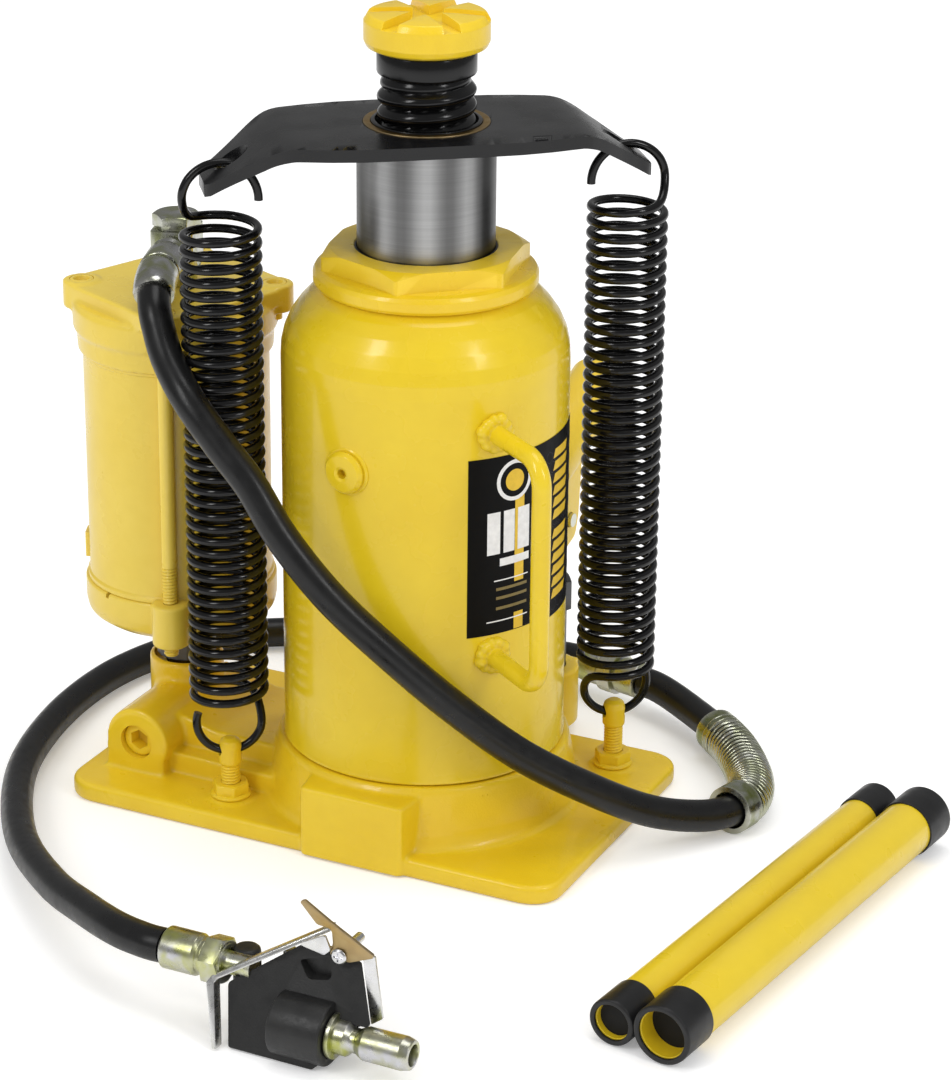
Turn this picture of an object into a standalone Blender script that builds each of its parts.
"""Air-assisted bottle jack, 20 t class: base, reservoir, ram with extension screw,
spring-return yoke, vertical air motor, manual pump, air hose with lever valve, and
the two-piece pump handle laid on the floor beside it.

Frame: metres, +Z up, origin on the reservoir axis at ground level.  +X runs along
the long edge of the base plate away from the air motor, -Y is the front long edge.
Names ending in _Z0 and _Z1 are the lower and upper ends of a part.
"""
import math

import bmesh
import bpy
from mathutils import Matrix, Vector

# ---------------------------------------------------------------- base and reservoir
PLATE_X0, PLATE_X1 = -0.1330, 0.0866
PLATE_Y0, PLATE_Y1 = -0.0655, 0.0691
PLATE_T, PLATE_CORNER_R, PLATE_CHAMFER = 0.0080, 0.0130, 0.0018
BOSS_TOP_Z = 0.0332

TANK_R, TANK_WALL = 0.0565, 0.0033
TANK_Z0, TANK_SHOULDER_Z, TANK_TOP_Z = 0.0335, 0.1960, 0.2222
FILLER_ANGLE, FILLER_Z = math.radians(-95.7), 0.1621

CYL_R, CYL_BORE_R = 0.0360, 0.0287
CYL_Z0, CYL_FLOOR_Z, CYL_TOP_Z = 0.0105, 0.0250, 0.2220

NUT_Z0, NUT_TOP_Z = 0.2226, 0.2380
NUT_R, NUT_COLLAR_R, NUT_BORE_R = 0.0440, 0.0398, 0.0271

HANDLE_ANGLE, HANDLE_WIRE_R = math.radians(-36.0), 0.00375
HANDLE_Z0, HANDLE_Z1 = 0.0870, 0.1790
LABEL_START, LABEL_SPAN, LABEL_STEPS = -46.8, 74.3, 14      # degrees, degrees, count
LABEL_R0, LABEL_R1, LABEL_Z0, LABEL_Z1 = 0.0567, 0.0571, 0.0950, 0.1690

# ---------------------------------------------------------------- ram, yoke, springs
RAM_R, RAM_HEAD_R = 0.02675, 0.0283
RAM_BOTTOM_Z, RAM_TOP_Z, RAM_SPIGOT_R, RAM_SPIGOT_Z = 0.0840, 0.2813, 0.0212, 0.2860
RAM_BORE_R, RAM_BORE_Z = 0.0196, 0.1650

SCREW_ROOT_R, SCREW_MAJOR_R, SCREW_PITCH = 0.0166, 0.0189, 0.0065
SCREW_NECK_R, SCREW_NECK_Z, SCREW_SPIGOT_R = 0.0182, 0.3086, 0.0118
SCREW_Z0, THREAD_Z0, THREAD_Z1, SCREW_TOP_Z = 0.1900, 0.2325, 0.3040, 0.3186
SADDLE_R, SADDLE_Z0, SADDLE_TOP_Z = 0.0240, 0.3090, 0.3291

YOKE_ANGLE = math.radians(37.4)
YOKE_T, YOKE_Z0 = 0.0048, 0.2816
YOKE_HALF_FLAT, YOKE_TIP_U, YOKE_TIP_DROP = 0.0585, 0.0862, 0.0180
YOKE_HOLE_R, YOKE_END_HOLE_U, YOKE_END_HOLE_R = 0.0245, 0.0750, 0.0064
# (distance from the centre along the yoke, half width)
YOKE_WIDTHS = [(0.0250, 0.0350), (0.0400, 0.0335), (YOKE_HALF_FLAT, 0.0290),
               (0.0700, 0.0235), (YOKE_TIP_U, 0.0125)]

SPRING_RAD_POS = 0.0795
SPRING_WIRE_R, SPRING_MEAN_R = 0.0017, 0.0143
SPRING_TURNS, SPRING_STEPS = 37, 6      # turns, steps per turn
SPRING_COIL_Z0, SPRING_COIL_Z1 = 0.0530, 0.2470
LOW_HOOK_R, TOP_HOOK_R, TOP_HOOK_Z = 0.0133, 0.0146, 0.2590
STUD_R, STUD_HEAD_R = 0.0039, 0.0047
STUD_HOLE_R = STUD_R + 0.0003
STUD_HEAD_Z = {"left": 0.0290, "right": 0.0325}
SIDES = {"left": -1.0, "right": 1.0}

# ---------------------------------------------------------------- air motor
MOTOR_X, MOTOR_Y = -0.1110, 0.0000
MOTOR_R, MOTOR_WALL = 0.0372, 0.0030
MOTOR_CAP_R, MOTOR_POCKET_R = 0.0394, 0.0343
MOTOR_SEAT_R = MOTOR_R + 0.0004
MOTOR_LOW_Z0, MOTOR_LOW_Z1 = 0.0636, 0.0810
MOTOR_TOP_Z0, MOTOR_TOP_Z1 = 0.1795, 0.2080
TIE_RADIUS, SHORT_RADIUS, TIE_R, EAR_R, EAR_TOP_Z = 0.0410, 0.0388, 0.0028, 0.0070, 0.2066
TIE_HOLE_R, TIE_HOLE_PHASE = TIE_R + 0.0004, 0.2
# (angle in degrees, distance from the motor axis, runs the full height)
TIES = [(-68.0, TIE_RADIUS, True), (24.0, SHORT_RADIUS, False),
        (112.0, TIE_RADIUS, True), (204.0, SHORT_RADIUS, False)]
PISTON_Z = 0.1200
PISTON_SPRING_R, PISTON_SPRING_WIRE_R = 0.0185, 0.0010
PISTON_SPRING_Z0, PISTON_SPRING_Z1 = 0.0715, 0.1185
PISTON_SPRING_TURNS, PISTON_SPRING_STEPS = 8, 6
GALLERY_X, GALLERY_Z = -0.1085, 0.0217
ELBOW_Z = 0.2215

# ---------------------------------------------------------------- manual pump, release valve
PUMP_X, PUMP_Y = 0.0160, 0.0845
PLUNGER_PIN = (PUMP_X, 0.0845, 0.0975)
LINK_TOP_PIN = (PUMP_X, 0.0660, 0.0900)
LINK_BASE_PIN = (PUMP_X, 0.0660, 0.0450)
PIN_HOLE_R, BASE_PIN_HOLE_R = 0.0033, 0.0032
SOCKET_TILT = math.radians(20.0)
SOCKET_START = (PUMP_X, 0.0765, 0.1215)
CHEEK_IN, CHEEK_OUT = 0.0064, 0.0096      # cheek faces, offsets from PUMP_X
LINK_END_R, LINK_HALF_T = 0.0055, 0.0044
VALVE_X, VALVE_Z = -0.0130, 0.0150
# socket cheek outline (y, z)
CHEEK = [(0.0600, 0.0860), (0.0625, 0.0835), (0.0700, 0.0830), (0.0900, 0.0885),
         (0.0930, 0.0970), (0.0960, 0.1300), (0.0780, 0.1200), (0.0600, 0.0960)]

# ---------------------------------------------------------------- hoses
HOSE_R = 0.0065
GUARD_R, GUARD_WIRE_R, GUARD_TURNS, GUARD_STEPS = 0.0086, 0.0009, 20, 6
# Centre lines, (x, y, z) in millimetres.
# from the motor elbow, round the front, down to the floor at +X
HOSE_UPPER = [
    (-103.0, -32.4, 219.6), (-98.2, -44.6, 218.0), (-93.6, -53.0, 213.0), (-89.3, -57.5, 206.6),
    (-81.3, -64.0, 197.1), (-67.5, -72.3, 185.9), (-51.9, -75.5, 171.4), (-37.9, -77.0, 158.2),
    (-22.4, -78.2, 139.0), (-2.7, -75.1, 117.0), (18.6, -66.7, 95.1), (38.8, -55.5, 73.7),
    (61.4, -39.8, 50.6), (83.2, -21.1, 32.2), (101.0, -2.2, 18.2), (115.5, 15.1, 11.4),
    (123.5, 27.5, 10.0)]
# stretch inside the spring guard
GUARD_PATH = [(123.5, 27.5, 10.0), (125.8, 40.0, 9.8), (122.8, 53.0, 9.8), (115.0, 67.0, 9.9),
              (104.0, 81.5, 10.2), (91.0, 93.5, 10.8)]
# from the guard to the coupling behind the jack
HOSE_END = [(76.0, 104.5, 11.5), (62.0, 112.2, 13.2), (54.0, 115.6, 14.0), (47.6, 117.3, 14.2)]
COUPLING_PATH = [(47.0, 117.5, 14.2), (16.0, 125.0, 14.2)]
# from the coupling, round the motor end, to the lever valve in front
HOSE_LOWER = [
    (15.4, 125.1, 14.2), (6.0, 127.0, 13.8), (-14.0, 128.5, 11.0), (-45.0, 128.0, 8.0),
    (-85.0, 122.0, 7.2), (-122.0, 108.0, 7.2), (-150.0, 84.7, 7.2), (-166.7, 44.5, 7.2),
    (-169.0, 2.6, 7.2), (-160.3, -42.7, 7.5), (-143.8, -81.4, 8.5), (-113.7, -125.0, 12.0),
    (-79.0, -158.0, 17.0), (-51.0, -178.0, 22.0), (-30.0, -190.5, 25.2), (-15.0, -195.2, 26.3),
    (-6.8, -195.5, 26.4)]

# ---------------------------------------------------------------- lever valve
INLET_Y, INLET_Z = -0.1955, 0.0264
NIPPLE_Y, NIPPLE_Z = -0.2028, 0.0125
BODY_X0, BODY_X1, BODY_Y0, BODY_Y1, BODY_TOP_Z = 0.0240, 0.0644, -0.2097, -0.1730, 0.0295
BODY_CORNER = 0.0020
STEM_X, STEM_Y = 0.0370, -0.2010
PIVOT = (0.0565, -0.1852, 0.0337)
PIVOT_HOLE_R = 0.0022
# side outlines (x, z)
LEVER_SIDE = [(0.0205, 0.0040), (0.0221, 0.0040), (0.0222, 0.0328), (0.0560, 0.0438),
              (0.0560, 0.0455), (0.0205, 0.0345)]
LEVER_STRAP = [(0.0206, 0.0329), (0.0559, 0.0439), (0.0559, 0.0454), (0.0206, 0.0344)]
LEVER_EAR = [(0.0480, 0.0418), (0.0500, 0.0330), (0.0550, 0.0304), (0.0580, 0.0304),
             (0.0605, 0.0340), (0.0590, 0.0440), (0.0550, 0.0447)]
LATCH_SIDE = [(0.0485, 0.0385), (0.0530, 0.0314), (0.0640, 0.0314), (0.0680, 0.0350),
              (0.0680, 0.0382), (0.0560, 0.0450), (0.0440, 0.0560), (0.0420, 0.0560)]

# ---------------------------------------------------------------- handle tubes
# key: (near end x y, far end x y, outer radius, bore radius, sleeve radius)
TUBES = {
    "small": ((0.1480, -0.1465), (0.1745, 0.0619), 0.0085, 0.0067, 0.0092),
    "large": ((0.1690, -0.1504), (0.1955, 0.0578), 0.0109, 0.0090, 0.0116),
}
TUBE_INSET, SLEEVE_LENGTH, SLEEVE_GAP = 0.0015, 0.0175, 0.0002

# look: (base colour, roughness, metallic)
LOOKS = {
    "yellow": ((0.86, 0.61, 0.03), 0.30, 0.0),
    "yellow2": ((0.80, 0.60, 0.06), 0.45, 0.0),
    "black": ((0.012, 0.012, 0.013), 0.35, 0.0),
    "rubber": ((0.02, 0.02, 0.02), 0.75, 0.0),
    "steel": ((0.52, 0.52, 0.54), 0.28, 1.0),
    "zinc": ((0.62, 0.60, 0.38), 0.32, 1.0),
    "dark": ((0.05, 0.05, 0.055), 0.5, 0.6),
    "label": ((0.015, 0.015, 0.015), 0.4, 0.0),
    "seal": ((0.10, 0.02, 0.02), 0.6, 0.0),
}

for _old in list(bpy.data.objects):
    bpy.data.objects.remove(_old, do_unlink=True)


# ---------------------------------------------------------------- objects and materials
def material(name, look):
    colour, roughness, metallic = LOOKS[look]
    mat = bpy.data.materials.new(name)
    mat.use_nodes = True
    inputs = mat.node_tree.nodes["Principled BSDF"].inputs
    inputs["Base Color"].default_value = (*colour, 1.0)
    inputs["Roughness"].default_value = roughness
    inputs["Metallic"].default_value = metallic
    mat.diffuse_color = (*colour, 1.0)
    return mat


def finish(obj, look=None, smooth=True, origin=None):
    """Set material, shading and origin without moving the shape."""
    if look:
        obj.data.materials.clear()
        obj.data.materials.append(material("mat_" + obj.name, look))
    for polygon in obj.data.polygons:
        polygon.use_smooth = smooth
    if origin is not None:
        offset = Vector(origin)
        obj.data.transform(Matrix.Translation(-offset))
        obj.location = offset


def add(name, verts, faces, look=None, smooth=True, origin=None):
    """Make a mesh object whose faces point outwards."""
    mesh = bpy.data.meshes.new(name)
    mesh.from_pydata([tuple(v) for v in verts], [], faces)
    mesh.validate()
    bm = bmesh.new()
    bm.from_mesh(mesh)
    if bm.calc_volume(signed=True) < 0:
        bmesh.ops.reverse_faces(bm, faces=bm.faces)
        bm.to_mesh(mesh)
    bm.free()
    obj = bpy.data.objects.new(name, mesh)
    bpy.context.scene.collection.objects.link(obj)
    finish(obj, look, smooth, origin)
    return obj


def boolean(target, tool, operation):
    """Apply one boolean to the target and delete the tool."""
    mod = target.modifiers.new("boolean", "BOOLEAN")
    mod.operation, mod.object, mod.solver = operation, tool, "EXACT"
    depsgraph = bpy.context.evaluated_depsgraph_get()
    mesh = bpy.data.meshes.new_from_object(target.evaluated_get(depsgraph))
    target.modifiers.clear()
    old = target.data
    target.data = mesh
    bpy.data.meshes.remove(old)
    bpy.data.objects.remove(tool, do_unlink=True)


def union(target, *tools):
    for tool in tools:
        boolean(target, tool, "UNION")


def cut(target, *tools):
    for tool in tools:
        boolean(target, tool, "DIFFERENCE")


# ---------------------------------------------------------------- directions and frames
def polar(radius, angle, cx=0.0, cy=0.0):
    return cx + radius * math.cos(angle), cy + radius * math.sin(angle)


def heading(angle):
    """Horizontal unit vector."""
    return Vector((*polar(1.0, angle), 0))


def reference(direction):
    """An axis that is not parallel to the direction."""
    return Vector((0, 0, 1)) if abs(direction.z) < 0.9 else Vector((1, 0, 0))


def frame(axis, at):
    """Matrix taking local +Z to `axis` and the local origin to `at`."""
    z = Vector(axis).normalized()
    y = z.cross(reference(z)).normalized()
    x = y.cross(z).normalized()
    matrix = Matrix((x, y, z)).transposed().to_4x4()
    matrix.translation = Vector(at)
    return matrix


def x_axis_at(point):
    return frame((1, 0, 0), point)


translate = Matrix.Translation
UP = Vector((0, 0, 1))
YOKE_DIR = heading(YOKE_ANGLE)
YOKE_ACROSS = Vector((-YOKE_DIR.y, YOKE_DIR.x, 0))
SPRING_SPOT = {side: YOKE_DIR * SPRING_RAD_POS * sign for side, sign in SIDES.items()}
FILLER_DIR = heading(FILLER_ANGLE)
FILLER_FRAME = frame(FILLER_DIR, UP * FILLER_Z)
MOTOR_FRAME = translate((MOTOR_X, MOTOR_Y, 0))
TIE_FRAMES = [(translate((*polar(radius, math.radians(angle), MOTOR_X, MOTOR_Y), 0)), full)
              for angle, radius, full in TIES]
GALLERY_FRAME = frame((0, -1, 0), (GALLERY_X, 0, GALLERY_Z))
PUMP_FRAME = translate((PUMP_X, PUMP_Y, 0))
RELEASE_FRAME = frame((0, 1, 0), (VALVE_X, 0, VALVE_Z))
INLET_FRAME = x_axis_at((0, INLET_Y, INLET_Z))
NIPPLE_FRAME = x_axis_at((0, NIPPLE_Y, NIPPLE_Z))
PIVOT_FRAME = frame((0, -1, 0), PIVOT)
STEM_FRAME = translate((STEM_X, STEM_Y, 0))
ELBOW_START = Vector((MOTOR_X, MOTOR_Y, ELBOW_Z))
ELBOW_RUN = Vector(HOSE_UPPER[0]) * 0.001 - ELBOW_START
ELBOW_FRAME = frame(ELBOW_RUN.normalized(), ELBOW_START)


# ---------------------------------------------------------------- solids
def lathe(name, profile, seg, matrix=None, look=None, origin=None, phase=0.0):
    """Closed (r, z) profile turned round Z; points on r = 0 become poles."""
    profile = list(profile)
    pairs = zip(profile, profile[1:] + profile[:1])
    if sum(r0 * z1 - r1 * z0 for (r0, z0), (r1, z1) in pairs) < 0:
        profile.reverse()
    verts, rings, faces = [], [], []
    for r, z in profile:
        if r <= 1e-9:
            rings.append([len(verts)] * seg)
            verts.append(Vector((0, 0, z)))
        else:
            rings.append(list(range(len(verts), len(verts) + seg)))
            for i in range(seg):
                verts.append(Vector((*polar(r, phase + 2 * math.pi * i / seg), z)))
    for ring, following in zip(rings, rings[1:] + rings[:1]):
        if ring[0] == ring[-1] and following[0] == following[-1]:
            continue
        for i in range(seg):
            j = (i + 1) % seg
            face = list(dict.fromkeys((ring[i], ring[j], following[j], following[i])))
            if len(face) > 2:
                faces.append(face)
    if matrix is not None:
        verts = [matrix @ v for v in verts]
    return add(name, verts, faces, look, True, origin)


def cylinder(name, radius, z0, z1, seg, matrix=None, look=None, origin=None, phase=0.0):
    profile = [(0, z0), (radius, z0), (radius, z1), (0, z1)]
    return lathe(name, profile, seg, matrix, look, origin, phase)


def rod(radius, z0, z1, seg, matrix=None, phase=0.0):
    """Cylinder for use in a boolean."""
    return cylinder("tool", radius, z0, z1, seg, matrix, phase=phase)


def skin(name, rings, look=None, smooth=False, origin=None, matrix=None, closed=False):
    """Skin equal-length closed rings; caps at both ends unless the stack is closed."""
    n, count = len(rings[0]), len(rings)
    verts = [Vector(p) for ring in rings for p in ring]
    if matrix is not None:
        verts = [matrix @ v for v in verts]
    faces = []
    for a in range(count if closed else count - 1):
        b = (a + 1) % count
        for i in range(n):
            j = (i + 1) % n
            faces.append([a * n + i, a * n + j, b * n + j, b * n + i])
    if not closed:
        faces.append(list(reversed(range(n))))
        faces.append(list(range((count - 1) * n, count * n)))
    return add(name, verts, faces, look, smooth, origin)


def prism(name, outline, z0, z1, matrix=None, chamfer=0.0):
    """Outline extruded in Z; the top chamfer shrinks it towards its mean point."""
    rings = [[(x, y, z0) for x, y in outline]]
    if chamfer:
        cx = sum(p[0] for p in outline) / len(outline)
        cy = sum(p[1] for p in outline) / len(outline)
        rings.append([(x, y, z1 - chamfer) for x, y in outline])
        half_x = max(abs(p[0] - cx) for p in outline)
        half_y = max(abs(p[1] - cy) for p in outline)
        rings.append([(cx + (x - cx) * (half_x - chamfer) / half_x,
                       cy + (y - cy) * (half_y - chamfer) / half_y, z1) for x, y in outline])
    else:
        rings.append([(x, y, z1) for x, y in outline])
    return skin(name, rings, matrix=matrix)


def plate_x(name, outline, x0, x1):
    """(y, z) outline extruded in X."""
    return skin(name, [[(x, y, z) for y, z in outline] for x in (x0, x1)])


def plate_y(name, outline, y0, y1):
    """(x, z) outline extruded in Y."""
    return skin(name, [[(x, y, z) for x, z in outline] for y in (y0, y1)])


def box(low, high, matrix=None):
    """Box for use in a boolean."""
    (x0, y0, z0), (x1, y1, z1) = low, high
    return prism("tool", [(x0, y0), (x1, y0), (x1, y1), (x0, y1)], z0, z1, matrix)


def hex_bar(flat_radius, z0, z1, matrix):
    """Hexagonal bar for use in a boolean."""
    corner_r = flat_radius / math.cos(math.pi / 6)
    return prism("tool", [polar(corner_r, math.pi * i / 3) for i in range(6)], z0, z1, matrix)


def rounded_rect(x0, x1, y0, y1, radius, steps):
    corners = ((x1 - radius, y0 + radius, -90), (x1 - radius, y1 - radius, 0),
               (x0 + radius, y1 - radius, 90), (x0 + radius, y0 + radius, 180))
    return [polar(radius, math.radians(start + 90 * i / steps), cx, cy)
            for cx, cy, start in corners for i in range(steps + 1)]


# ---------------------------------------------------------------- paths
def metres(points):
    return [Vector(p) * 0.001 for p in points]


def catmull(points, steps):
    """Catmull-Rom curve through the points."""
    p = [2 * points[0] - points[1]] + points + [2 * points[-1] - points[-2]]
    out = []
    for i in range(1, len(p) - 2):
        for k in range(steps):
            t = k / steps
            out.append(0.5 * ((2 * p[i]) + (p[i + 1] - p[i - 1]) * t
                              + (2 * p[i - 1] - 5 * p[i] + 4 * p[i + 1] - p[i + 2]) * t * t
                              + (3 * p[i] - p[i - 1] - 3 * p[i + 1] + p[i + 2]) * t ** 3))
    out.append(p[-2])
    return out


def path_frames(path):
    """Rotation-minimising (point, side, other side) along a path."""
    last = len(path) - 1
    tangents = [(path[min(i + 1, last)] - path[max(i - 1, 0)]).normalized()
                for i in range(last + 1)]
    side = tangents[0].cross(reference(tangents[0])).normalized()
    out = []
    for i, tangent in enumerate(tangents):
        if i:
            before = tangents[i - 1]
            axis = before.cross(tangent)
            if axis.length > 1e-9:
                side = Matrix.Rotation(before.angle(tangent), 3, axis.normalized()) @ side
        side = (side - tangent * side.dot(tangent)).normalized()
        out.append((path[i], side, tangent.cross(side).normalized()))
    return out


def around(centre, side, other, radius, angle):
    return centre + (side * math.cos(angle) + other * math.sin(angle)) * radius


def sweep(name, path, radius, seg, look):
    rings = [[around(*station, radius, 2 * math.pi * i / seg) for i in range(seg)]
             for station in path_frames(path)]
    return skin(name, rings, look, True)


# ---------------------------------------------------------------- base casting
def pin_hole(pin, radius, half_length=0.0200):
    return rod(radius, -half_length, half_length, 12, x_axis_at(pin))


def base_casting():
    outline = rounded_rect(PLATE_X0, PLATE_X1, PLATE_Y0, PLATE_Y1, PLATE_CORNER_R, 4)
    base = prism("base_casting", outline, 0.0, PLATE_T, chamfer=PLATE_CHAMFER)
    # round boss under the tank, block on its front
    boss = [(0, 0.0012), (0.0640, 0.0012), (0.0628, 0.0110), (0.0600, 0.0240),
            (0.0585, BOSS_TOP_Z), (0, BOSS_TOP_Z)]
    union(base, lathe("tool", boss, 36), box((-0.0210, -0.0680, 0.0006), (0.0237, -0.0300, 0.0310)))
    # motor post, gallery boss facing the front, blocks joining them to the tank boss
    union(base,
          rod(0.0154, 0.0016, 0.0440, 24, MOTOR_FRAME),
          rod(0.0142, -0.0060, 0.0465, 20, GALLERY_FRAME),
          box((-0.1222, -0.0461, 0.0021), (-0.0972, 0.0080, 0.0200)),
          box((-0.0995, -0.0400, 0.0026), (-0.0300, 0.0240, 0.0168)),
          box((-0.1045, -0.0330, 0.0031), (-0.0320, 0.0200, 0.0260)))
    for spot in SPRING_SPOT.values():
        union(base, rod(0.0082, 0.0036, 0.0092, 16, translate(spot)))
    # rear: manual pump block, link ears, release valve block
    union(base,
          box((PUMP_X - 0.0100, 0.0300, 0.0041), (PUMP_X + 0.0100, 0.0965, 0.0300)),
          box((PUMP_X - 0.0098, 0.0585, 0.0046), (PUMP_X + 0.0098, 0.0725, 0.0515)),
          box((VALVE_X - 0.0095, 0.0300, 0.0051), (VALVE_X + 0.0095, 0.0840, 0.0255)))
    # bores for the cylinder, the air pump barrel and the gallery plug
    cut(base,
        rod(CYL_R + 0.0003, 0.0102, 0.0500, 36),
        rod(0.0087, 0.0120, 0.0600, 20, MOTOR_FRAME),
        rod(0.0073, 0.0330, 0.0600, 16, GALLERY_FRAME))
    for spot in SPRING_SPOT.values():
        cut(base, rod(STUD_HOLE_R, -0.0100, 0.0300, 12, translate(spot)))
    # hand pump bore, link slot, link pin hole, release valve bore
    cut(base,
        rod(0.0085, 0.0120, 0.0600, 20, PUMP_FRAME),
        box((PUMP_X - 0.0053, 0.0560, 0.0350), (PUMP_X + 0.0053, 0.0760, 0.0700)),
        pin_hole(LINK_BASE_PIN, BASE_PIN_HOLE_R, 0.0300),
        rod(0.0058, 0.0560, 0.1000, 14, RELEASE_FRAME))
    finish(base, "yellow", False)


# ---------------------------------------------------------------- tank, cylinder, gland nut
def reservoir_tank():
    outside = [(TANK_R, TANK_Z0), (TANK_R, TANK_SHOULDER_Z), (0.0556, 0.2026), (0.0532, 0.2085),
               (0.0492, 0.2145), (0.0448, 0.2193), (0.0405, TANK_TOP_Z)]
    inside = [(0.0385, TANK_TOP_Z), (0.0385, 0.2194), (0.0440, 0.2160), (0.0500, 0.2064),
              (TANK_R - TANK_WALL, 0.1950), (TANK_R - TANK_WALL, TANK_Z0)]
    tank = lathe("reservoir_tank", outside + inside, 36)
    cut(tank, rod(0.0056, 0.0450, 0.0700, 14, FILLER_FRAME))
    finish(tank, "yellow")


def hydraulic_cylinder():
    lathe("hydraulic_cylinder",
          [(0, CYL_Z0), (CYL_R, CYL_Z0), (CYL_R, CYL_TOP_Z), (CYL_BORE_R, CYL_TOP_Z),
           (CYL_BORE_R, CYL_FLOOR_Z), (0, CYL_FLOOR_Z)], 36, look="steel")


def gland_nut():
    lathe("gland_nut",
          [(NUT_BORE_R, NUT_Z0), (NUT_R - 0.0006, NUT_Z0), (NUT_R, NUT_Z0 + 0.0008),
           (NUT_R, 0.2288), (NUT_R - 0.0010, 0.2298), (NUT_COLLAR_R + 0.0002, 0.2304),
           (NUT_COLLAR_R, 0.2368), (NUT_COLLAR_R - 0.0012, NUT_TOP_Z), (NUT_BORE_R, NUT_TOP_Z)],
          36, look="yellow")


# ---------------------------------------------------------------- ram group
def ram():
    """Ram with its seal groove, the seal, and the bush round the spigot."""
    lathe("ram",
          [(0, RAM_BOTTOM_Z), (RAM_HEAD_R, RAM_BOTTOM_Z), (RAM_HEAD_R, 0.0885), (0.0260, 0.0885),
           (0.0260, 0.0935), (RAM_HEAD_R, 0.0935), (RAM_HEAD_R, 0.0985), (RAM_R, 0.0985),
           (RAM_R, RAM_TOP_Z), (RAM_SPIGOT_R, RAM_TOP_Z), (RAM_SPIGOT_R, RAM_SPIGOT_Z),
           (RAM_BORE_R, RAM_SPIGOT_Z), (RAM_BORE_R, RAM_BORE_Z), (0, RAM_BORE_Z)],
          32, look="steel")
    lathe("ram_piston_seal",
          [(0.0262, 0.0888), (0.0284, 0.0888), (0.0284, 0.0932), (0.0262, 0.0932)],
          32, look="seal")
    lathe("yoke_bush",
          [(0.0215, YOKE_Z0), (0.0242, YOKE_Z0), (0.0242, 0.2870), (0.0215, 0.2870)],
          32, look="zinc")


def spring_yoke():
    """Strip tapering to bent-down tips, holed for the ram and the spring hooks."""
    slope = YOKE_TIP_DROP / (YOKE_TIP_U - YOKE_HALF_FLAT)
    rings = []
    for u, half in [(-u, half) for u, half in reversed(YOKE_WIDTHS)] + YOKE_WIDTHS:
        z = YOKE_Z0 - max(0.0, abs(u) - YOKE_HALF_FLAT) * slope
        rings.append([(u, -half, z), (u, half, z), (u, half, z + YOKE_T), (u, -half, z + YOKE_T)])
    axes = Matrix((YOKE_DIR, YOKE_ACROSS, UP)).transposed().to_4x4()
    yoke = skin("spring_yoke", rings, matrix=axes)
    cut(yoke, rod(YOKE_HOLE_R, 0.2600, 0.3000, 32))
    for sign in SIDES.values():
        spot = translate(YOKE_DIR * YOKE_END_HOLE_U * sign)
        cut(yoke, rod(YOKE_END_HOLE_R, 0.2500, 0.3000, 16, spot))
    finish(yoke, "black", False)


def extension_screw():
    """Helical thread that fades at both ends, plain core below, neck and spigot above."""
    seg, rows_per_pitch, fade_rows = 12, 3, 3.0
    rows = int(round((THREAD_Z1 - THREAD_Z0) / SCREW_PITCH * rows_per_pitch))

    def ring(radius, z):
        return [(*polar(radius, 2 * math.pi * i / seg), z) for i in range(seg)]

    rings = [ring(SCREW_ROOT_R, SCREW_Z0)]
    for k in range(rows + 1):
        z = THREAD_Z0 + (THREAD_Z1 - THREAD_Z0) * k / rows
        fade = min(1.0, k / fade_rows, (rows - k) / fade_rows)
        row = []
        for i in range(seg):
            wave = 0.5 + 0.5 * math.cos(2 * math.pi * (z / SCREW_PITCH - i / seg))
            r = SCREW_ROOT_R + (SCREW_MAJOR_R - SCREW_ROOT_R) * wave * fade
            row.append((*polar(r, 2 * math.pi * i / seg), z))
        rings.append(row)
    rings += [ring(SCREW_NECK_R, THREAD_Z1 + 0.0006), ring(SCREW_NECK_R, SCREW_NECK_Z),
              ring(SCREW_SPIGOT_R, SCREW_NECK_Z), ring(SCREW_SPIGOT_R, SCREW_TOP_Z)]
    skin("extension_screw", rings, "black", True, origin=(0, 0, RAM_SPIGOT_Z))


def saddle():
    """Load pad with three grooves across its top."""
    pad = lathe("saddle",
                [(0, 0.3190), (0.0122, 0.3190), (0.0122, SADDLE_Z0), (0.0190, SADDLE_Z0),
                 (0.0228, 0.3120), (SADDLE_R, 0.3148), (SADDLE_R, 0.3268),
                 (0.0222, SADDLE_TOP_Z), (0, SADDLE_TOP_Z)], 26)
    for angle in (20.0, 80.0, 140.0):
        cut(pad, box((-0.0300, -0.0026, 0.3255), (0.0300, 0.0026, 0.3400),
                     Matrix.Rotation(math.radians(angle), 4, "Z")))
    finish(pad, "yellow2", False)


# ---------------------------------------------------------------- springs, studs, nuts
def hook(sign, z, radius, start, end, steps):
    """Arc in the upright plane of the yoke; angles in degrees."""
    out = []
    for i in range(steps + 1):
        angle = math.radians(start + (end - start) * i / steps)
        u, height = polar(radius, angle, SPRING_RAD_POS, z)
        out.append(YOKE_DIR * sign * u + UP * height)
    return out


def return_spring(side):
    """Extension spring: bottom hook through the stud eye, coils, top hook at the yoke tip."""
    sign = SIDES[side]
    low = hook(sign, STUD_HEAD_Z[side] + LOW_HOOK_R, LOW_HOOK_R, -275, 0, 9)
    top = hook(sign, TOP_HOOK_Z, TOP_HOOK_R, 0, 215, 7)
    start = YOKE_ANGLE + (0 if sign > 0 else math.pi)
    coil = []
    count = SPRING_TURNS * SPRING_STEPS
    for i in range(count + 1):
        t = i / count
        z = SPRING_COIL_Z0 + (SPRING_COIL_Z1 - SPRING_COIL_Z0) * t
        angle = start + 2 * math.pi * SPRING_TURNS * t
        coil.append(SPRING_SPOT[side] + Vector((*polar(SPRING_MEAN_R, angle), z)))
    sweep("return_spring_" + side, low + coil + top[1:], SPRING_WIRE_R, 3, "black")


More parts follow.
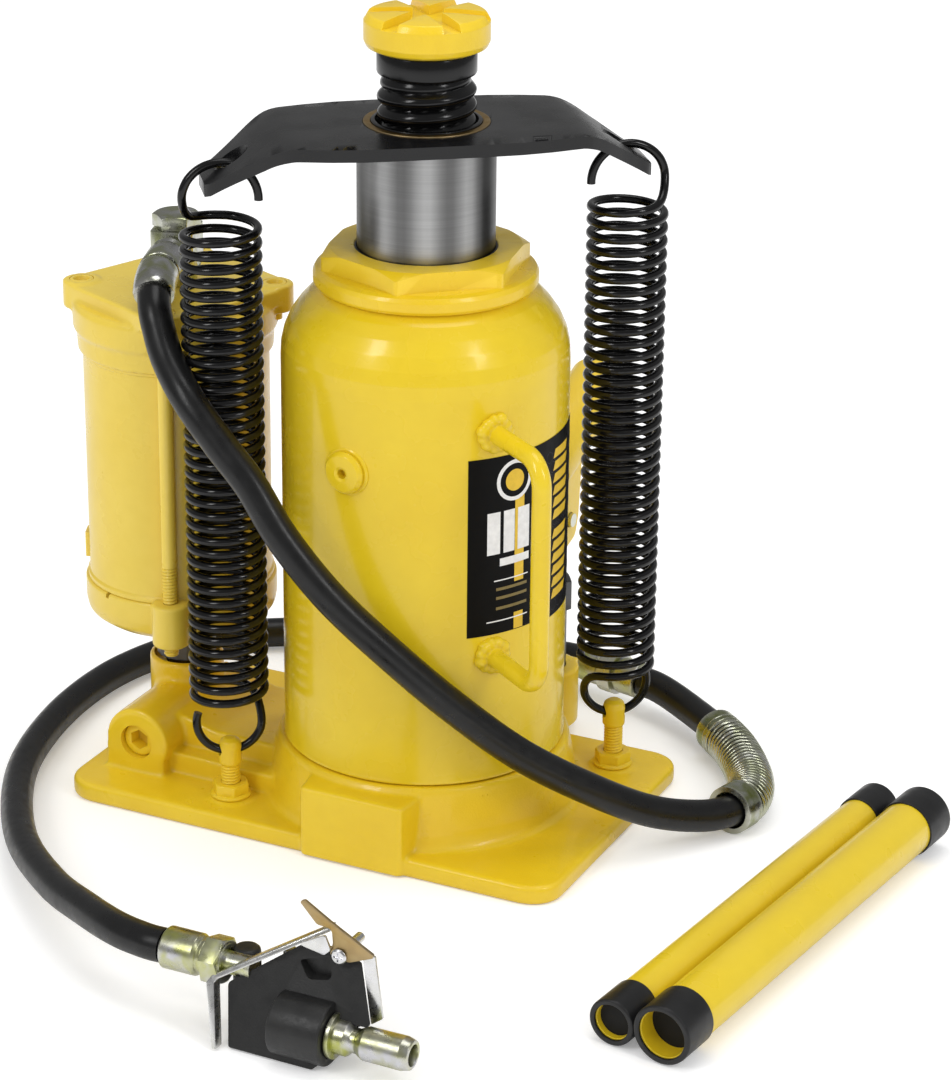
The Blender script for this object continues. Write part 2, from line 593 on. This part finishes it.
def eye_bolt(side):
    spot, z = SPRING_SPOT[side], STUD_HEAD_Z[side]
    stud = lathe("eye_bolt_" + side,
                 [(0, 0.0012), (STUD_R, 0.0012), (STUD_R, z - 0.0052), (STUD_HEAD_R, z - 0.0044),
                  (STUD_HEAD_R, z + 0.0024), (STUD_HEAD_R * 0.7, z + 0.0048), (0, z + 0.0056)],
                 16, translate(spot))
    cut(stud, rod(0.0030, -0.0200, 0.0200, 12, frame(YOKE_DIR, spot + UP * (z + 0.0004))))
    finish(stud, "yellow")


def eye_bolt_nut(side):
    """Hexagonal nut: twelve points, corners alternating with flats."""
    flat_r, z0, z1, phase = 0.0066, 0.0094, 0.0156, 0.3
    corner_r = flat_r / math.cos(math.pi / 6)
    angles = [phase + 2 * math.pi * i / 12 for i in range(12)]
    outer = [polar(flat_r if i % 2 else corner_r, angle) for i, angle in enumerate(angles)]
    inner = [polar(STUD_HOLE_R, angle) for angle in angles]
    rings = [[(x, y, z) for x, y in outline]
             for outline, z in ((inner, z0), (outer, z0), (outer, z1), (inner, z1))]
    skin("eye_bolt_nut_" + side, rings, "yellow", matrix=translate(SPRING_SPOT[side]), closed=True)


# ---------------------------------------------------------------- tank and base fittings
def carry_handle():
    # (distance from the tank axis, inset from the handle's lower and upper ends)
    half = [(0.0573, 0.0), (0.0840, 0.0), (0.0910, 0.0025), (0.0935, 0.0095)]
    out = heading(HANDLE_ANGLE)
    path = [out * r + UP * (HANDLE_Z0 + inset) for r, inset in half]
    path += [out * r + UP * (HANDLE_Z1 - inset) for r, inset in reversed(half)]
    sweep("carry_handle", path, HANDLE_WIRE_R, 12, "yellow")


def rating_label():
    rings = []
    for i in range(LABEL_STEPS + 1):
        out = heading(math.radians(LABEL_START + LABEL_SPAN * i / LABEL_STEPS))
        rings.append([out * r + UP * z for r, z in ((LABEL_R0, LABEL_Z0), (LABEL_R1, LABEL_Z0),
                                                    (LABEL_R1, LABEL_Z1), (LABEL_R0, LABEL_Z1))])
    skin("rating_label", rings, "label")


def filler_plug():
    lathe("filler_plug",
          [(0, 0.0500), (0.0040, 0.0500), (0.0054, 0.0520), (0.0054, 0.0568), (0.0083, 0.0568),
           (0.0085, 0.0576), (0.0072, 0.0594), (0.0018, 0.0597), (0.0018, 0.0575), (0, 0.0575)],
          20, FILLER_FRAME, "yellow", FILLER_DIR * 0.0568 + UP * FILLER_Z)


def gallery_plug():
    radius, z0, z1, chamfer = 0.0070, 0.0332, 0.0455, 0.0006
    plug = lathe("gallery_plug",
                 [(0, z0), (radius - chamfer, z0), (radius, z0 + chamfer),
                  (radius, z1 - chamfer), (radius - chamfer, z1), (0, z1)], 16, GALLERY_FRAME)
    cut(plug, hex_bar(0.0036, 0.0400, 0.0500, GALLERY_FRAME))
    finish(plug, "yellow2", False)


def release_valve_screw():
    screw = lathe("release_valve_screw",
                  [(0, 0.0565), (0.0030, 0.0565), (0.0054, 0.0600), (0.0054, 0.0850),
                   (0.0066, 0.0860), (0.0066, 0.1000), (0.0058, 0.1010), (0, 0.1010)],
                  16, RELEASE_FRAME)
    cut(screw, box((VALVE_X - 0.0100, 0.0930, VALVE_Z - 0.0012),
                   (VALVE_X + 0.0100, 0.1100, VALVE_Z + 0.0012)))
    finish(screw, "zinc", False, (VALVE_X, 0.0930, VALVE_Z))


# ---------------------------------------------------------------- manual pump
def hand_pump():
    """Pump cylinder and its plunger with a pin eye on top."""
    lathe("hand_pump_cylinder",
          [(0, 0.0124), (0.0082, 0.0124), (0.0082, 0.0620), (0.0091, 0.0620), (0.0091, 0.0700),
           (0.0063, 0.0700), (0.0063, 0.0180), (0, 0.0180)], 20, PUMP_FRAME, "dark")
    plunger = cylinder("hand_pump_plunger", 0.0060, 0.0300, 0.0840, 16, PUMP_FRAME)
    union(plunger,
          box((PUMP_X - 0.0050, PUMP_Y - 0.0032, 0.0800),
              (PUMP_X + 0.0050, PUMP_Y + 0.0032, PLUNGER_PIN[2] - 0.0020)),
          rod(0.0075, -0.0052, 0.0052, 16, x_axis_at(PLUNGER_PIN)))
    cut(plunger, pin_hole(PLUNGER_PIN, PIN_HOLE_R))
    finish(plunger, "steel", False, PLUNGER_PIN)


def pump_pins():
    for name, pin, radius, half in (("plunger_pin", PLUNGER_PIN, 0.0030, 0.0112),
                                    ("link_top_pin", LINK_TOP_PIN, 0.0030, 0.0112),
                                    ("link_base_pin", LINK_BASE_PIN, 0.0029, 0.0108)):
        cylinder(name, radius, -half, half, 12, x_axis_at(pin), "zinc", pin)


def pump_handle_socket():
    """Tilted tube with two cheeks that carry the plunger and link pins."""
    tilted = frame((0, *polar(1.0, SOCKET_TILT)), SOCKET_START)
    socket = cylinder("pump_handle_socket", 0.0122, 0.0, 0.0600, 20, tilted)
    union(socket,
          plate_x("tool", CHEEK, PUMP_X - CHEEK_OUT, PUMP_X - CHEEK_IN),
          plate_x("tool", CHEEK, PUMP_X + CHEEK_IN, PUMP_X + CHEEK_OUT))
    cut(socket,
        rod(0.0100, 0.0100, 0.0700, 20, tilted),
        box((PUMP_X - CHEEK_IN, 0.0500, 0.0700), (PUMP_X + CHEEK_IN, 0.1150, 0.1070)),
        pin_hole(PLUNGER_PIN, PIN_HOLE_R),
        pin_hole(LINK_TOP_PIN, PIN_HOLE_R))
    finish(socket, "yellow", False, PLUNGER_PIN)


def pump_link():
    """Upright link with a round hole at the base and a slot at the top."""
    outline = [polar(LINK_END_R, math.radians(180 + 180 * i / 8), *LINK_BASE_PIN[1:])
               for i in range(9)]
    _, top_y, top_z = LINK_TOP_PIN
    for i in range(9):
        a = math.radians(180 * i / 8)
        outline.append((top_y + 0.0002 + (LINK_END_R + 0.0012) * math.cos(a),
                        top_z + 0.0010 + LINK_END_R * math.sin(a)))
    slot = []
    for i in range(12):
        a = math.radians(15 + 30 * i)
        shift = 0.0014 if math.cos(a) > 0 else -0.0010
        slot.append((top_y + shift + 0.0038 * math.cos(a), top_z + 0.0006 + 0.0040 * math.sin(a)))
    link = plate_x("pump_link", outline, PUMP_X - LINK_HALF_T, PUMP_X + LINK_HALF_T)
    cut(link,
        pin_hole(LINK_BASE_PIN, BASE_PIN_HOLE_R),
        plate_x("tool", slot, PUMP_X - 0.0100, PUMP_X + 0.0100))
    finish(link, "dark", False, LINK_BASE_PIN)


# ---------------------------------------------------------------- air motor
def air_motor_lower_cap():
    cap = lathe("air_motor_lower_cap",
                [(0, MOTOR_LOW_Z0), (0.0335, MOTOR_LOW_Z0), (MOTOR_CAP_R, 0.0680),
                 (MOTOR_CAP_R, MOTOR_LOW_Z1), (0, MOTOR_LOW_Z1)], 26, MOTOR_FRAME)
    full_ties = [tie for tie, full in TIE_FRAMES if full]
    for tie in full_ties:
        union(cap, rod(EAR_R, 0.0660, 0.0835, 10, tie))
    for tie in full_ties:
        cut(cap, rod(TIE_HOLE_R, 0.0500, 0.0900, 8, tie, TIE_HOLE_PHASE))
    # pocket and cylinder seat, cut after the ears so that the bore is clean; barrel holes
    cut(cap,
        rod(MOTOR_POCKET_R, 0.0700, 0.0950, 26, MOTOR_FRAME),
        rod(MOTOR_SEAT_R, MOTOR_LOW_Z1 + 0.0001, 0.1000, 28, MOTOR_FRAME),
        rod(0.0128, 0.0400, 0.0670, 20, MOTOR_FRAME),
        rod(0.0088, 0.0500, 0.0800, 20, MOTOR_FRAME))
    finish(cap, "yellow", False)


def air_motor_upper_cap():
    cap = lathe("air_motor_upper_cap",
                [(0, MOTOR_TOP_Z1), (MOTOR_CAP_R - 0.0030, MOTOR_TOP_Z1), (MOTOR_CAP_R, 0.2055),
                 (MOTOR_CAP_R, MOTOR_TOP_Z0), (0, MOTOR_TOP_Z0)], 26, MOTOR_FRAME)
    for tie, _ in TIE_FRAMES:
        union(cap, rod(EAR_R, 0.1840, EAR_TOP_Z, 10, tie))
    for tie, full in TIE_FRAMES:
        cut(cap,
            rod(TIE_HOLE_R, 0.1600 if full else 0.1905, 0.2300, 8, tie, TIE_HOLE_PHASE),
            rod(0.0056, EAR_TOP_Z, 0.2300, 12, tie))
    # inlet hole, then the pocket and cylinder seat
    cut(cap,
        rod(0.0064, 0.1900, 0.2300, 14, MOTOR_FRAME),
        rod(MOTOR_POCKET_R, 0.1600, 0.2000, 26, MOTOR_FRAME),
        rod(MOTOR_SEAT_R, 0.1500, MOTOR_TOP_Z0 - 0.0001, 28, MOTOR_FRAME))
    finish(cap, "yellow", False)


def air_motor_cylinder():
    z0, z1 = MOTOR_LOW_Z1 + 0.0002, MOTOR_TOP_Z0 - 0.0002
    bore = MOTOR_R - MOTOR_WALL
    lathe("air_motor_cylinder", [(bore, z0), (MOTOR_R, z0), (MOTOR_R, z1), (bore, z1)],
          28, MOTOR_FRAME, "yellow")


def tie_rods():
    """Two full-height rods and two short screws, all with recessed heads."""
    for number, (tie, full) in enumerate(TIE_FRAMES, 1):
        z0 = 0.0600 if full else 0.1910
        lathe("tie_rod_%d" % number,
              [(0, z0), (TIE_R, z0), (TIE_R, 0.2068), (0.0052, 0.2068), (0.0052, 0.2089),
               (0.0026, 0.2089), (0.0026, 0.2077), (0, 0.2077)], 12, tie, "yellow")


def air_piston():
    """Piston, pump plunger, return spring and pump barrel on the motor axis."""
    pivot = (MOTOR_X, MOTOR_Y, PISTON_Z)
    lathe("air_piston",
          [(0.0050, 0.1140), (0.0120, 0.1140), (0.0120, PISTON_Z), (0.0338, PISTON_Z),
           (0.0338, 0.1300), (0.0050, 0.1300)], 28, MOTOR_FRAME, "steel", pivot)
    lathe("air_pump_plunger",
          [(0, 0.0340), (0.0046, 0.0340), (0.0046, 0.1302), (0.0090, 0.1302), (0.0090, 0.1340),
           (0, 0.1340)], 16, MOTOR_FRAME, "steel", pivot)
    count = PISTON_SPRING_TURNS * PISTON_SPRING_STEPS
    rise = PISTON_SPRING_Z1 - PISTON_SPRING_Z0
    coil = []
    for i in range(count + 1):
        angle = 2 * math.pi * i / PISTON_SPRING_STEPS
        coil.append(Vector((*polar(PISTON_SPRING_R, angle, MOTOR_X, MOTOR_Y),
                            PISTON_SPRING_Z0 + rise * i / count)))
    sweep("air_piston_spring", coil, PISTON_SPRING_WIRE_R, 3, "steel")
    lathe("air_pump_barrel",
          [(0.0050, 0.0140), (0.0084, 0.0140), (0.0084, 0.0446), (0.0124, 0.0446),
           (0.0124, 0.0632), (0.0084, 0.0632), (0.0084, 0.0696), (0.0050, 0.0696)],
          18, MOTOR_FRAME, "yellow")


def air_inlet():
    """Elbow, banjo bolt and hose ferrule on top of the motor."""
    elbow = lathe("air_inlet_elbow",
                  [(0.0034, 0.1930), (0.0060, 0.1930), (0.0060, 0.2086), (0.0088, 0.2086),
                   (0.0088, 0.2128), (0.0082, 0.2138), (0.0082, 0.2285), (0.0034, 0.2285)],
                  16, MOTOR_FRAME)
    union(elbow, rod(0.0062, 0.0050, 0.0155, 12, ELBOW_FRAME))
    cut(elbow, rod(0.0034, 0.1800, 0.2400, 12, MOTOR_FRAME))
    finish(elbow, "zinc", False)
    bolt = cylinder("banjo_bolt", 0.0031, 0.1950, 0.2290, 12, MOTOR_FRAME)
    union(bolt, hex_bar(0.0085, 0.2289, 0.2345, MOTOR_FRAME))
    finish(bolt, "zinc", False)
    end = ELBOW_RUN.length - 0.0013
    lathe("hose_ferrule_motor",
          [(0, 0.0158), (0.0078, 0.0158), (0.0078, 0.0300), (0.0082, 0.0310), (0.0082, end),
           (0, end)], 16, ELBOW_FRAME, "zinc")


# ---------------------------------------------------------------- hoses
def hoses():
    upper = HOSE_UPPER + GUARD_PATH[1:] + HOSE_END
    for name, points in (("hose_upper", upper), ("hose_lower", HOSE_LOWER)):
        sweep(name, catmull(metres(points), 2), HOSE_R, 8, "rubber")


def hose_spring_guard():
    """Wire helix wound round the hose."""
    frames = path_frames(catmull(metres(GUARD_PATH), 3))
    count = GUARD_TURNS * GUARD_STEPS
    wire = []
    for i in range(count + 1):
        t = i / count * (len(frames) - 1)
        k = min(int(t), len(frames) - 2)
        point, side, other = (a.lerp(b, t - k) for a, b in zip(frames[k], frames[k + 1]))
        wire.append(around(point, side.normalized(), other.normalized(), GUARD_R,
                           2 * math.pi * i / GUARD_STEPS))
    sweep("hose_spring_guard", wire, GUARD_WIRE_R, 3, "zinc")


def hose_coupling():
    start, stop = metres(COUPLING_PATH)
    end = (stop - start).length - 0.0007
    lathe("hose_coupling",
          [(0, 0.0007), (0.0079, 0.0007), (0.0079, 0.0110), (0.0094, 0.0115), (0.0094, 0.0195),
           (0.0079, 0.0200), (0.0079, end), (0, end)], 14, frame(stop - start, start), "zinc")


# ---------------------------------------------------------------- lever air valve
def valve_body():
    x0, inset_x = BODY_X0 - 0.0002, BODY_X0 + BODY_CORNER
    outline = [(inset_x, BODY_Y0), (BODY_X1, BODY_Y0), (BODY_X1, BODY_Y1), (inset_x, BODY_Y1),
               (x0, BODY_Y1 - BODY_CORNER), (x0, BODY_Y0 + BODY_CORNER)]
    body = prism("valve_body", outline, 0.0004, BODY_TOP_Z, chamfer=0.0015)
    # nipple boss and lever pivot lug
    union(body,
          rod(0.0112, BODY_X1 - 0.0100, BODY_X1 + 0.0045, 10, NIPPLE_FRAME),
          box((0.0500, -0.1905, 0.0200), (0.0630, -0.1800, 0.0370)))
    # inlet, nipple, stem and pivot holes
    cut(body,
        rod(0.0053, 0.0100, 0.0312, 12, INLET_FRAME),
        rod(0.0056, BODY_X1 - 0.0120, BODY_X1 + 0.0200, 12, NIPPLE_FRAME),
        rod(0.0030, 0.0120, 0.0500, 10, STEM_FRAME),
        rod(PIVOT_HOLE_R, -0.2100, -0.1600, 10, frame((0, 1, 0), (PIVOT[0], 0, PIVOT[2]))))
    finish(body, "black", False)


def valve_fittings():
    """Hose end, plug nipple, pivot screw and stem."""
    lathe("valve_hose_end",
          [(0, -0.0061), (0.0078, -0.0061), (0.0078, 0.0085), (0.0064, 0.0090), (0.0064, 0.0113),
           (0.0092, 0.0117), (0.0092, 0.0192), (0.0042, 0.0192), (0.0042, 0.0300), (0, 0.0300)],
          16, INLET_FRAME, "zinc")
    z0 = BODY_X1 - 0.0115
    lathe("air_plug_nipple",
          [(0, z0), (0.0050, z0), (0.0050, 0.0695), (0.0085, 0.0697), (0.0085, 0.0712),
           (0.0062, 0.0714), (0.0062, 0.0760), (0.0044, 0.0780), (0.0044, 0.0800),
           (0.0062, 0.0830), (0.0062, 0.0985), (0.0050, 0.1010), (0.0030, 0.1010),
           (0.0030, 0.0800), (0, 0.0800)], 18, NIPPLE_FRAME, "zinc")
    lathe("lever_pivot_screw",
          [(0, -0.0060), (0.0019, -0.0060), (0.0019, 0.0100), (0.0036, 0.0100),
           (0.0036, 0.0118), (0, 0.0118)], 12, PIVOT_FRAME, "steel")
    cylinder("valve_stem", 0.0027, 0.0145, 0.0366, 12, STEM_FRAME, "steel",
             (STEM_X, STEM_Y, 0.0260))


def pivot_hole():
    return rod(PIVOT_HOLE_R, -0.0300, 0.0300, 10, PIVOT_FRAME)


def valve_lever():
    """Front side plate with a leg at the hose end, sloping strap, ear at the pivot."""
    lever = plate_y("valve_lever", LEVER_SIDE, -0.2090, -0.2075)
    union(lever, plate_y("tool", LEVER_STRAP, -0.2086, -0.1936))
    union(lever, plate_y("tool", LEVER_EAR, -0.1948, -0.1934))
    cut(lever, pivot_hole())
    finish(lever, "steel", False, PIVOT)


def valve_latch():
    """Side plate with a tab across its +X end and a leg down from the tab."""
    latch = plate_y("valve_latch", LATCH_SIDE, -0.1926, -0.1912)
    union(latch,
          box((0.0667, -0.1925, 0.0351), (0.0679, -0.1780, 0.0381)),
          box((0.0668, -0.1880, 0.0080), (0.0678, -0.1781, 0.0380)))
    cut(latch, pivot_hole())
    finish(latch, "zinc", False, PIVOT)


# ---------------------------------------------------------------- pump handle
def handle_tube(key):
    """One tube lying on the floor with a sleeve at each end."""
    near_xy, far_xy, radius, bore, sleeve = TUBES[key]
    near = Vector((*near_xy, sleeve + 0.0002))
    far = Vector((*far_xy, sleeve + 0.0002))
    length = (far - near).length

    def pipe(name, inner, outer, z0, z1, look):
        lathe(name, [(inner, z0), (outer, z0), (outer, z1), (inner, z1)], 18,
              frame(far - near, near), look, (near + far) / 2)

    pipe("handle_tube_" + key, bore, radius, TUBE_INSET, length - TUBE_INSET, "yellow")
    for end, z0, z1 in (("near", 0.0, SLEEVE_LENGTH), ("far", length - SLEEVE_LENGTH, length)):
        pipe("handle_sleeve_%s_%s" % (key, end), radius + SLEEVE_GAP, sleeve, z0, z1, "black")


for build in (base_casting, reservoir_tank, hydraulic_cylinder, gland_nut, ram, spring_yoke,
              extension_screw, saddle, carry_handle, rating_label, filler_plug, gallery_plug,
              release_valve_screw, hand_pump, pump_pins, pump_handle_socket, pump_link,
              air_motor_lower_cap, air_motor_upper_cap, air_motor_cylinder, tie_rods,
              air_piston, air_inlet, hoses, hose_spring_guard, hose_coupling, valve_body,
              valve_fittings, valve_lever, valve_latch):
    build()
for jack_side in SIDES:
    return_spring(jack_side)
    eye_bolt(jack_side)
    eye_bolt_nut(jack_side)
for tube_key in TUBES:
    handle_tube(tube_key)
